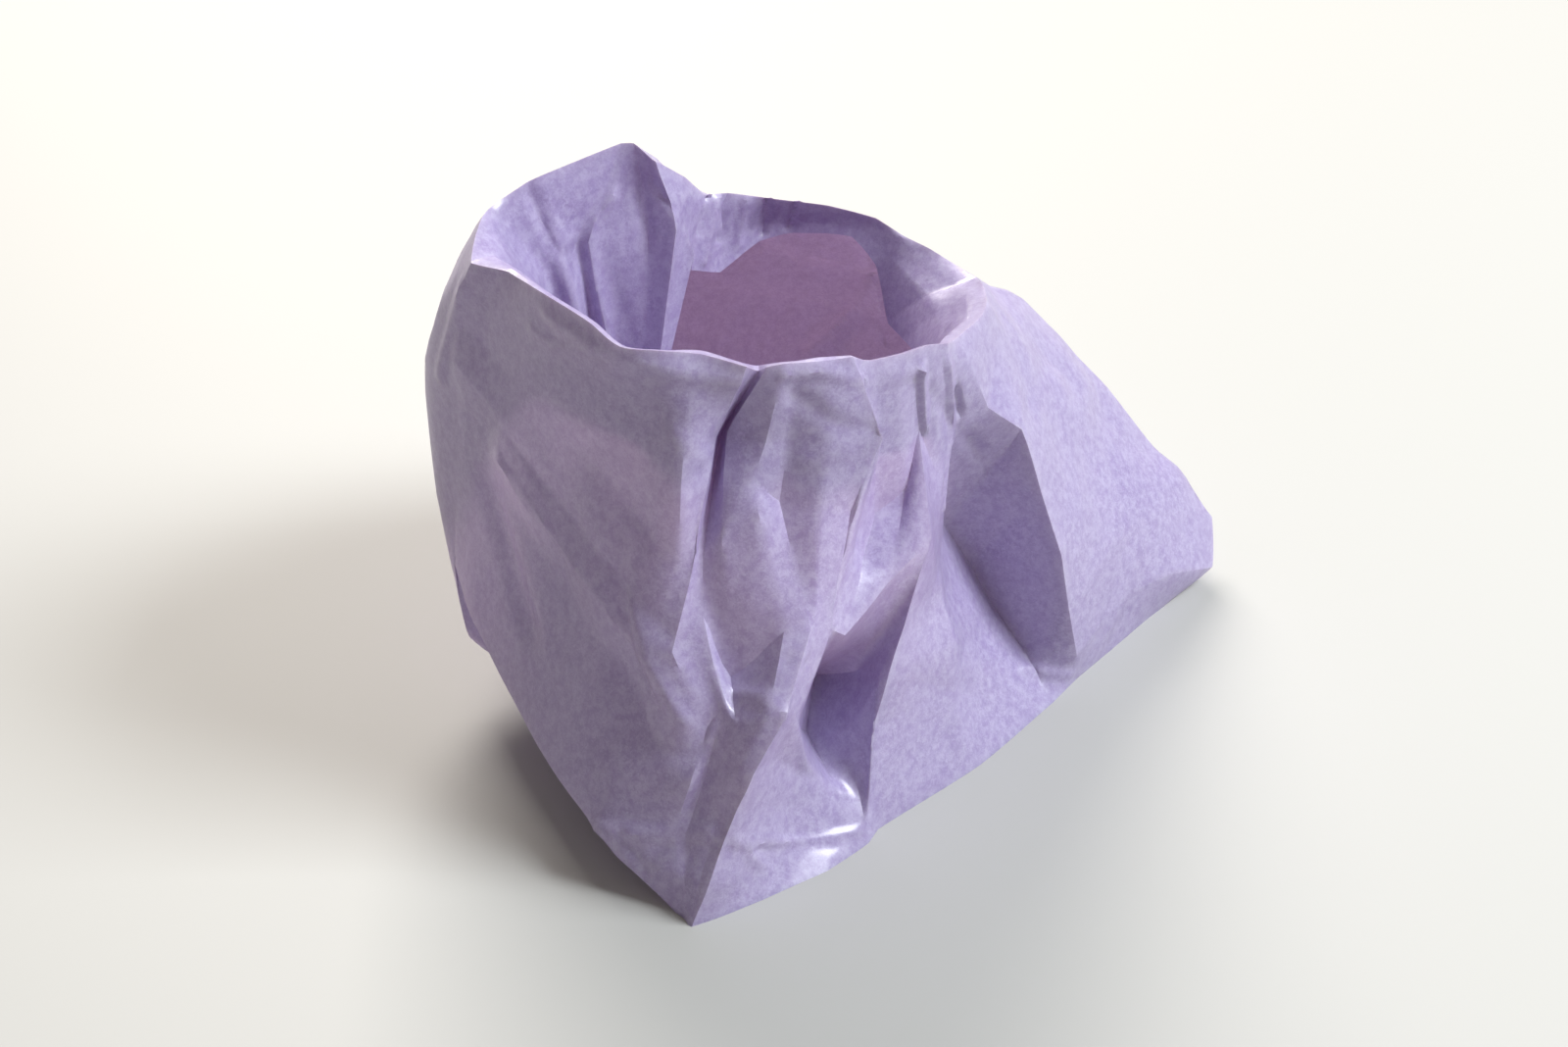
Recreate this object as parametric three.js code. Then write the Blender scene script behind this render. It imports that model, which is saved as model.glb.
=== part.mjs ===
// A small pouch of glossy coated tissue paper, crumpled and standing open.
// One folded sheet: a flat underside spread from the bottom seam, a wall that goes
// all the way round, a rolled rim, and a cuff turned in round the mouth.
// Millimetres, +Z up. The table is z = 0, and the origin lies on the flat underside.

import * as THREE from 'three';

// ---- Driving dimensions ----

const paperThickness = 0.15;
const mouthCentre = [-6, 4];

// A hidden stretch of cuff follows the rim: each step is how far in and how far down.
const tuckedCuff = [[1.2, 0.6], [2.6, 6], [2.4, 12]];

// Steps between neighbouring fold points, round the pouch and up the wall.
const stepsRound = 2;
const stepsUp = 2;

// ---- Fold lines ----
// Each line runs from the table up the outside of the wall to the rim (eight points),
// and where the cuff has a shape of its own, on down the cuff to its hem (eleven points).
// The lines go round clockwise as seen from above, from the front tip.
// sharp is 1 for a pressed crease and 0 for a soft bend.

const foldLines = [
  // the front tip, with the long fold that climbs from it and the pleat beside that
  { name: 'ridge', sharp: 1, points: [
    [-10.5, -45, 0], [-6.5, -41.5, 10.5], [-3.5, -39.5, 18], [0, -37.5, 24], [3, -30.2, 31],
    [-0.5, -23, 43.5], [0.5, -21.5, 50.5], [1.5, -21.5, 60.5], [1.2, -20.3, 59.8],
    [0.5, -17, 55], [0, -16, 49]] },
  { name: 'shine', sharp: 0.8, points: [
    [-10.8, -44.8, 0], [-8, -40.5, 9.5], [-5.5, -39, 17], [-2, -37.5, 24], [0, -30.5, 31],
    [-3.5, -24, 46.5], [-2, -22.5, 51], [0, -22, 60.7]] },
  { name: 'strip', sharp: 0.7, points: [
    [-11, -44.5, 0], [-9, -40, 9.5], [-7, -38, 16.5], [-5.5, -36, 22.5], [-6, -31, 25],
    [-7, -26.5, 41.5], [-6.3, -20.5, 51], [-1.8, -22.5, 60.6], [-1.9, -21, 60],
    [-2.5, -17, 55.5], [-3, -15.5, 49.5]] },
  { name: 'tuck', sharp: 0.8, points: [
    [-11.2, -44, 0], [-11, -39, 9], [-9, -37, 15], [-7, -34.5, 23.5], [-9, -29, 32],
    [-9, -26, 39], [-7, -17.5, 49], [-2.8, -21.5, 59.5], [-2.8, -20, 59.2], [-4.5, -16, 55],
    [-5, -15, 50]] },
  { name: 'lip', sharp: 0.9, points: [
    [-11.5, -43.5, 0], [-12.5, -39, 9], [-10.5, -38, 15.5], [-8.5, -34.5, 20.5],
    [-12.5, -31.5, 29], [-9.5, -27.5, 39.5], [-7.5, -22.5, 51.5], [-4, -24, 61.5],
    [-4.3, -22.4, 61], [-6, -17.5, 56.5], [-7, -15.5, 50]] },

  // the wide panel on the left, leaning out over the table
  { name: 'left_1', sharp: 0.3, points: [
    [-12, -43, 0], [-17, -38, 8], [-14, -37, 13.5], [-12, -34, 21], [-15.5, -29.5, 29.5],
    [-12, -28, 38], [-11, -26.5, 51], [-9, -23, 62.5], [-9, -21.5, 62], [-9.5, -18, 56],
    [-10, -16, 50]] },
  { name: 'left_2', sharp: 0.4, points: [
    [-12.5, -42.5, 0], [-21, -36.5, 7], [-18.5, -34, 14], [-16, -28.5, 26.5], [-17.5, -26, 34],
    [-16, -24.5, 42], [-15.5, -23.5, 53], [-13.5, -24, 63.5]] },
  { name: 'left_3', sharp: 0.2, points: [
    [-15, -35, 0], [-24.5, -32, 8], [-22.5, -29.5, 16], [-20.5, -24, 31], [-21, -22.5, 38],
    [-20.5, -20.5, 46], [-20, -20.5, 55.5], [-17.5, -24, 64]] },
  { name: 'left_4', sharp: 0.2, points: [
    [-17, -30.5, 0], [-29, -24.5, 9.5], [-27, -22.5, 18.5], [-25, -17.5, 34], [-25, -17, 41],
    [-25, -16, 49], [-24.5, -16.5, 57.5], [-21, -20.5, 65]] },
  { name: 'left_5', sharp: 0.2, points: [
    [-19, -25, 0], [-34, -14.5, 12], [-31, -15, 22.5], [-29, -12.5, 38], [-30, -11, 44],
    [-30, -10, 51], [-29.5, -10.5, 58], [-27, -13.5, 65]] },
  { name: 'left_6', sharp: 0.7, points: [
    [-20.5, -19.5, 0], [-38, -6.5, 15], [-35.5, -7, 26], [-33, -6.5, 41], [-34.5, -5, 46],
    [-34.5, -3.5, 52.5], [-34, -4.5, 58], [-31, -7, 64], [-30, -5.5, 63], [-27.5, 1, 52],
    [-27.5, 1.5, 32]] },
  { name: 'left_7', sharp: 0.8, points: [
    [-22.5, -14, 0], [-41, 1.5, 18], [-39.5, 0.5, 29], [-38, -0.5, 41.5], [-38.5, -0.5, 48],
    [-38, 0, 53], [-37.5, -1, 57.5], [-35.5, -3.5, 63], [-33.5, 0, 62], [-28.5, 4.5, 52],
    [-28, 5, 31]] },
  { name: 'left_8', sharp: 0.5, points: [
    [-24, -7, 0], [-39.3, -0.5, 8], [-43.5, 8, 24], [-44, 9.5, 38], [-43.5, 8.5, 43.5],
    [-41.5, 6.5, 50], [-39.5, 4, 56], [-35.5, 2.5, 63.5], [-34, 5, 62], [-29, 8, 54],
    [-28, 8.5, 30]] },

  // the back, with the deep cuff flap on the left and the raised peak
  { name: 'back_1', sharp: 0.2, points: [
    [-28, 12, 0], [-38, 13, 19], [-40.5, 14, 29], [-41, 14.5, 39], [-40.5, 14, 46],
    [-39, 12.5, 53], [-37, 11, 59], [-34.5, 8, 64], [-33, 8.5, 62.5], [-28.5, 11, 54],
    [-26, 12, 30]] },
  { name: 'back_2', sharp: 0.3, points: [
    [-24, 22, 0], [-33, 25, 17], [-35.5, 26.5, 28], [-36, 26, 38], [-35.5, 24, 46],
    [-34, 21, 54], [-32, 17, 61], [-30, 12, 65.5], [-29, 12, 63], [-26, 12, 55], [-23, 12.5, 29]] },
  { name: 'back_3', sharp: 0.7, points: [
    [-17, 30, 0], [-26, 33, 16], [-29, 34, 27], [-29.5, 33, 37], [-29, 30, 46], [-28, 26, 54],
    [-27, 20, 62], [-25.5, 15.5, 66], [-24.2, 15, 61.5], [-24.8, 14.5, 55], [-21.5, 14, 28]] },
  { name: 'back_4', sharp: 0.9, points: [
    [-9, 34, 0], [-17, 38, 15], [-20, 39, 26], [-22, 38, 36], [-22.5, 35, 46], [-22, 30, 55],
    [-21, 24, 62.5], [-19.5, 19, 67], [-20.8, 17.8, 63], [-23.3, 15, 56], [-19.5, 13, 28]] },
  { name: 'back_5', sharp: 0.6, points: [
    [0, 37, 0], [-8, 41, 14], [-11, 42, 25], [-13.5, 41, 35], [-15, 38, 44], [-16.5, 33, 54],
    [-16.5, 25.5, 61.5], [-18, 19, 67], [-17, 18.5, 61.5], [-16.5, 16.5, 55], [-18, 11, 28.5]] },
  { name: 'flap_edge', sharp: 1, points: [
    [8, 39, 0], [0, 43, 13], [-4, 44, 24], [-7, 43, 34], [-9.5, 40, 42], [-12, 34.5, 51],
    [-13.5, 27.5, 58], [-15.5, 18, 65], [-13.5, 17, 60], [-13, 15.8, 57], [-17, 10.5, 29]] },
  { name: 'back_6', sharp: 1, points: [
    [14, 40.5, 0], [6, 44.5, 12], [2, 45, 23], [-1, 44, 32], [-4, 41, 40], [-7.5, 36.5, 47.5],
    [-10, 30.5, 54], [-12, 21, 61.5], [-12, 20.2, 60], [-12.3, 18.3, 57], [-11, 17.8, 52.5]] },
  { name: 'back_7', sharp: 1, points: [
    [19, 41.5, 0], [12, 45, 12], [8, 45.5, 22], [4.5, 44.5, 31], [1, 42, 39], [-3, 38.5, 46],
    [-6.5, 33.5, 51.5], [-9.8, 24, 57.6], [-10.2, 22.8, 56.8], [-11, 21.5, 52.5],
    [-11.5, 20.5, 49]] },
  { name: 'back_8', sharp: 0.8, points: [
    [25, 42.5, 0], [19, 45.5, 11], [15, 46, 20], [10.5, 45, 29], [6.5, 42.5, 37], [2, 39.5, 44],
    [-1.5, 35.5, 50.5], [-7, 27, 56.3], [-7.5, 26, 55], [-7.5, 25.5, 50.5], [-8, 24.5, 46.5]] },
  { name: 'back_9', sharp: 0.6, points: [
    [32, 43, 0], [27, 46, 10], [23, 46, 18], [18, 45, 27], [13.5, 42.5, 35], [8.5, 40, 42.5],
    [4, 36.5, 49], [-1, 27.5, 55.2], [-2.5, 27.8, 53.5], [-3, 28.3, 51], [-3, 28, 49]] },
  { name: 'back_10', sharp: 0.6, points: [
    [39, 43, 0], [35, 46, 9], [31, 46, 16.5], [26, 44.5, 25], [20.5, 42, 33], [15, 39.5, 40.5],
    [10, 36, 47.5], [5.5, 28.5, 53.8], [4.5, 28.8, 52.5], [2.5, 29.3, 51], [1, 29.3, 49.5]] },
  { name: 'back_11', sharp: 0.6, points: [
    [45, 41.5, 0], [42, 44, 8], [38, 43.5, 15], [32.5, 42, 23], [26, 39.5, 31], [20, 37, 38.5],
    [16, 34, 45.3], [11.5, 28, 52.3], [10.8, 28.3, 51.3], [10, 28.3, 50.5], [8.5, 28.3, 49.5]] },
  { name: 'back_12', sharp: 0.6, points: [
    [49, 35, 0], [50, 39, 7], [45, 39.5, 14], [38.5, 38.5, 22], [31, 36, 30], [25.5, 33.5, 38],
    [20.5, 30, 44.7], [16, 25, 51], [14.5, 25, 49.8], [12.8, 25.5, 48.5], [11.5, 25.5, 47]] },

  // the tip on the right and the smooth panel in front of it
  { name: 'right_tip', sharp: 0.8, points: [
    [51, 18, 0], [57.5, 23, 2.5], [58, 28.5, 7], [48.5, 29.5, 18.5], [42.5, 29.5, 26.5],
    [30.5, 27.5, 41], [25.5, 23, 46.3], [23.5, 17, 50], [21.5, 16.5, 49.3], [17.5, 17, 47.3],
    [13, 19.5, 42]] },
  { name: 'right_2', sharp: 0, points: [
    [48, 14.5, 0], [50.5, 15.5, 6.5], [49.5, 19.5, 14], [42.5, 20, 23.5], [37.5, 18.5, 31],
    [30, 14.5, 42], [26.5, 11.5, 47.5], [24.2, 10, 51.5], [22.2, 10, 51], [18.5, 12, 47.5],
    [15, 15, 42]] },
  { name: 'right_1', sharp: 0, points: [
    [44, 9.5, 0], [44, 9.5, 7], [43, 10.5, 15.5], [38, 10.5, 24.5], [34, 10, 32],
    [28.5, 6.5, 42], [25.5, 4.5, 48], [23.3, 2.5, 53], [21.5, 3, 52.5], [18.5, 6, 49],
    [16, 10, 43]] },
  { name: 'bulge', sharp: 0.9, points: [
    [37.5, 1.5, 0], [37, -0.5, 5.3], [35.5, -1.5, 13], [34, -2, 21.6], [31, -1, 30.6],
    [28.5, -1, 39], [24, -3, 43.5], [19.8, -5.8, 54.5], [18.3, -5, 54], [17, 0, 49], [15.5, 3, 43]] },

  // the stand-up crumple and the deep recess between it and the front tip
  { name: 'dip', sharp: 0.9, points: [
    [34, -3.5, 0], [32, -1.5, 3], [30.5, 0.5, 5.2], [26.3, 2.5, 11], [23.3, 3.5, 16.6],
    [19.8, 2, 23.6], [19.5, -4.5, 40.5], [18.5, -9.5, 56]] },
  { name: 'shin', sharp: 0.4, points: [
    [24, -16, 0], [22.5, -14, 5.5], [21.5, -13, 10], [20.5, -12, 16], [19.3, -11, 21],
    [18.5, -11, 26.5], [18, -7.5, 38], [16.5, -11.5, 57]] },
  { name: 'peak', sharp: 0.9, points: [
    [11.2, -28, 0], [10.5, -27, 6], [10.5, -25, 13], [12, -23, 19], [14, -20.5, 24.5],
    [17, -16.5, 34], [15.5, -10.5, 45], [14, -14, 57.5]] },
  { name: 'flank', sharp: 0.6, points: [
    [10, -30.5, 0], [9.5, -29.5, 2.5], [9, -27.5, 4.5], [7, -22.5, 10.5], [8.5, -18, 16],
    [12, -20.5, 30.5], [14, -13, 38.5], [12, -15.5, 57.8]] },
  { name: 'recess', sharp: 0.8, points: [
    [5, -35.5, 0], [6, -31.5, 2.5], [6, -28, 6], [2.5, -20, 8.5], [4, -15.5, 13.5],
    [7, -26.5, 27.5], [10.5, -15, 36.5], [10, -17, 58.2]] },
  { name: 'under_flap', sharp: 0.8, points: [
    [1.2, -38, 0], [2.9, -32.8, 3.2], [3, -30, 10], [1.5, -33, 20.5], [4.8, -29, 28],
    [5.5, -28, 29.5], [9, -18, 37.5], [8.8, -18, 58.8]] },
  { name: 'flap_fold', sharp: 1, points: [
    [-2.5, -40.5, 0], [0.3, -34.2, 4.5], [1.5, -31.2, 11.3], [1.2, -34.5, 22.8],
    [4.2, -28.5, 31.8], [7.5, -22, 41.5], [11, -20, 50], [7.5, -19, 59.8]] },
  { name: 'middle', sharp: 0.5, points: [
    [-7.5, -43.5, 0], [-4, -39.5, 6.5], [-1.5, -36, 17.3], [0.5, -35.8, 23.5],
    [3.5, -29.5, 31.2], [4, -24, 43], [5, -21.5, 52], [4.5, -20.2, 60]] },
];

// How sharply a line bends at each of its points, from the table to the hem. A line with
// a higher sharpness of its own bends that sharply all the way up.
const sharpUp = [1, 0.7, 0.6, 0.6, 0.6, 0.6, 0.5, 0.85, 0.5, 0.5, 1];

// ---- Curves through the fold points ----

function toVectors(line) {
  const points = line.points.map((p) => new THREE.Vector3(...p));
  if (points.length < sharpUp.length) {
    const rim = points[points.length - 1];
    const inward = new THREE.Vector3(mouthCentre[0] - rim.x, mouthCentre[1] - rim.y, 0).normalize();
    for (const [inBy, downBy] of tuckedCuff) {
      const point = rim.clone().addScaledVector(inward, inBy);
      point.z -= downBy;
      points.push(point);
    }
  }
  return points;
}

// The direction of travel at a point: with its neighbours where the bend is soft,
// and straight along the stretch being drawn where it is a crease.
function tangent(before, at, after, chord, sharpness) {
  const soft = new THREE.Vector3();
  if (before) soft.add(at.clone().sub(before).normalize());
  if (after) soft.add(after.clone().sub(at).normalize());
  soft.normalize().multiplyScalar(chord.length());
  return soft.lerp(chord, sharpness);
}

function hermite(a, b, leaving, arriving, t) {
  const t2 = t * t;
  const t3 = t2 * t;
  return new THREE.Vector3()
    .addScaledVector(a, 2 * t3 - 3 * t2 + 1)
    .addScaledVector(leaving, t3 - 2 * t2 + t)
    .addScaledVector(b, 3 * t2 - 2 * t3)
    .addScaledVector(arriving, t3 - t2);
}

function curveThrough(points, sharpness, closed, steps) {
  const count = points.length;
  const at = (i) => (closed ? points[(i + count) % count] : points[i]);
  const curve = [];
  for (let i = 0; i < (closed ? count : count - 1); i += 1) {
    const chord = at(i + 1).clone().sub(at(i));
    const leaving = tangent(at(i - 1), at(i), at(i + 1), chord, sharpness[i]);
    const arriving = tangent(at(i), at(i + 1), at(i + 2), chord, sharpness[(i + 1) % count]);
    for (let k = 0; k < steps; k += 1) {
      curve.push(hermite(at(i), at(i + 1), leaving, arriving, k / steps));
    }
  }
  if (!closed) curve.push(points[count - 1].clone());
  return curve;
}

// The outer face of the sheet as rings of points, from the table up and over to the hem.
function sheetRings() {
  const lines = foldLines.map((line) => {
    const sharpness = sharpUp.map((sharp) => Math.max(sharp, line.sharp));
    return curveThrough(toVectors(line), sharpness, false, stepsUp);
  });
  const sharpRound = foldLines.map((line) => line.sharp);
  const rings = [];
  for (let level = 0; level < lines[0].length; level += 1) {
    const ring = lines.map((line) => line[level]);
    rings.push(curveThrough(ring, sharpRound, true, stepsRound));
  }
  for (const point of rings[0]) point.z = 0;
  return rings;
}

// ---- The closed solid ----

// Faces of the wall, as corner numbers, with the outside of the sheet facing out.
function wallFaces(ringCount, around) {
  const faces = [];
  for (let level = 0; level < ringCount - 1; level += 1) {
    for (let i = 0; i < around; i += 1) {
      const next = (i + 1) % around;
      const a = level * around + i;
      const b = level * around + next;
      faces.push([a, a + around, b + around], [a, b + around, b]);
    }
  }
  return faces;
}

// The flat underside inside the lowest ring, facing down.
function undersideFaces(ring) {
  const outline = ring.map((p) => new THREE.Vector2(p.x, p.y));
  return THREE.ShapeUtils.triangulateShape(outline, []).map((face) => {
    const [a, b, c] = face.map((i) => outline[i]);
    const turnsLeft = (b.x - a.x) * (c.y - a.y) - (b.y - a.y) * (c.x - a.x) > 0;
    return turnsLeft ? [face[0], face[2], face[1]] : face;
  });
}

// The way each corner faces: the mean of its faces, each counted by its angle there.
function cornerNormals(points, faces) {
  const normals = points.map(() => new THREE.Vector3());
  for (const face of faces) {
    const [a, b, c] = face.map((i) => points[i]);
    const normal = b.clone().sub(a).cross(c.clone().sub(a)).normalize();
    face.forEach((corner, k) => {
      const ahead = points[face[(k + 1) % 3]].clone().sub(points[corner]);
      const behind = points[face[(k + 2) % 3]].clone().sub(points[corner]);
      normals[corner].addScaledVector(normal, ahead.angleTo(behind));
    });
  }
  return normals.map((normal) => normal.normalize());
}

function pouchGeometry() {
  const rings = sheetRings();
  const around = rings[0].length;
  const outer = rings.flat();
  const wall = wallFaces(rings.length, around);
  const faces = [...wall, ...undersideFaces(rings[0])];
  const wallNormals = cornerNormals(outer, wall);
  const inner = outer.map((point, i) => point.clone().addScaledVector(wallNormals[i], -paperThickness));
  // along the bottom seam the inner face meets the underside in the same narrow angle
  for (let i = 0; i < around; i += 1) {
    const lean = wallNormals[i].z;
    const level = wallNormals[i].clone().setZ(0);
    const seamDepth = paperThickness * (1 + lean) / level.length();
    inner[i].copy(outer[i]).addScaledVector(level.normalize(), -seamDepth).setZ(paperThickness);
  }

  const corners = [...outer, ...inner];
  const solid = [...faces];
  for (const [a, b, c] of faces) {
    solid.push([a + outer.length, c + outer.length, b + outer.length]);
  }
  const hem = outer.length - around;
  for (let i = 0; i < around; i += 1) {
    const a = hem + i;
    const b = hem + ((i + 1) % around);
    solid.push([a, a + outer.length, b + outer.length], [a, b + outer.length, b]);
  }

  const geometry = new THREE.BufferGeometry();
  const positions = corners.flatMap((p) => p.toArray());
  geometry.setAttribute('position', new THREE.Float32BufferAttribute(positions, 3));
  geometry.setIndex(solid.flat());
  geometry.computeVertexNormals();
  return geometry;
}

// ---- The model ----

const lilacPaper = new THREE.MeshStandardMaterial({
  name: 'lilac_paper',
  color: new THREE.Color(0.6, 0.54, 0.72),
  roughness: 0.4,
  metalness: 0,
});

const pouch = new THREE.Mesh(pouchGeometry(), lilacPaper);
pouch.name = 'tissue_pouch';

const tissue = new THREE.Group();
tissue.add(pouch);

export default tissue;
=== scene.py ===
"""A small pouch of glossy lilac tissue, crumpled and standing open on a pale table."""

import math
import random

import bpy
import numpy as np
from bpy.props import FloatProperty, FloatVectorProperty, IntProperty, PointerProperty
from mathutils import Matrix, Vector
from mathutils.geometry import delaunay_2d_cdt


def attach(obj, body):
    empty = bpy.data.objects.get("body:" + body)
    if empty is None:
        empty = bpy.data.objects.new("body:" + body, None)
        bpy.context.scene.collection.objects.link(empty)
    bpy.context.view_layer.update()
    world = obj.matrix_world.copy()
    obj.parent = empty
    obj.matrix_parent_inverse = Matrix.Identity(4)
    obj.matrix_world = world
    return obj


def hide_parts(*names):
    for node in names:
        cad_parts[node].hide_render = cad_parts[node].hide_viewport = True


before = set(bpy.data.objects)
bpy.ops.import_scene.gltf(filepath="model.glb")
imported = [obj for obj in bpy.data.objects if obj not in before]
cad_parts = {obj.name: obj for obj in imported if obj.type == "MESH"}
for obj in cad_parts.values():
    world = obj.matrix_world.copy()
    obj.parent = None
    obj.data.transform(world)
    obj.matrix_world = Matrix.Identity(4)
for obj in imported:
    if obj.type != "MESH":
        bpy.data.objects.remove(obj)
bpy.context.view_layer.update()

bl_info = {
    "name": "Crumpled Tissue Pouch",
    "version": (1, 0, 0),
    "blender": (4, 5, 0),
    "location": "3D View > Sidebar > Tissue",
    "description": "Builds a crumpled pouch of coated tissue and the stage it stands on",
    "category": "Object",
}

MM = 0.001
NODE = "tissue_pouch"

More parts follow.
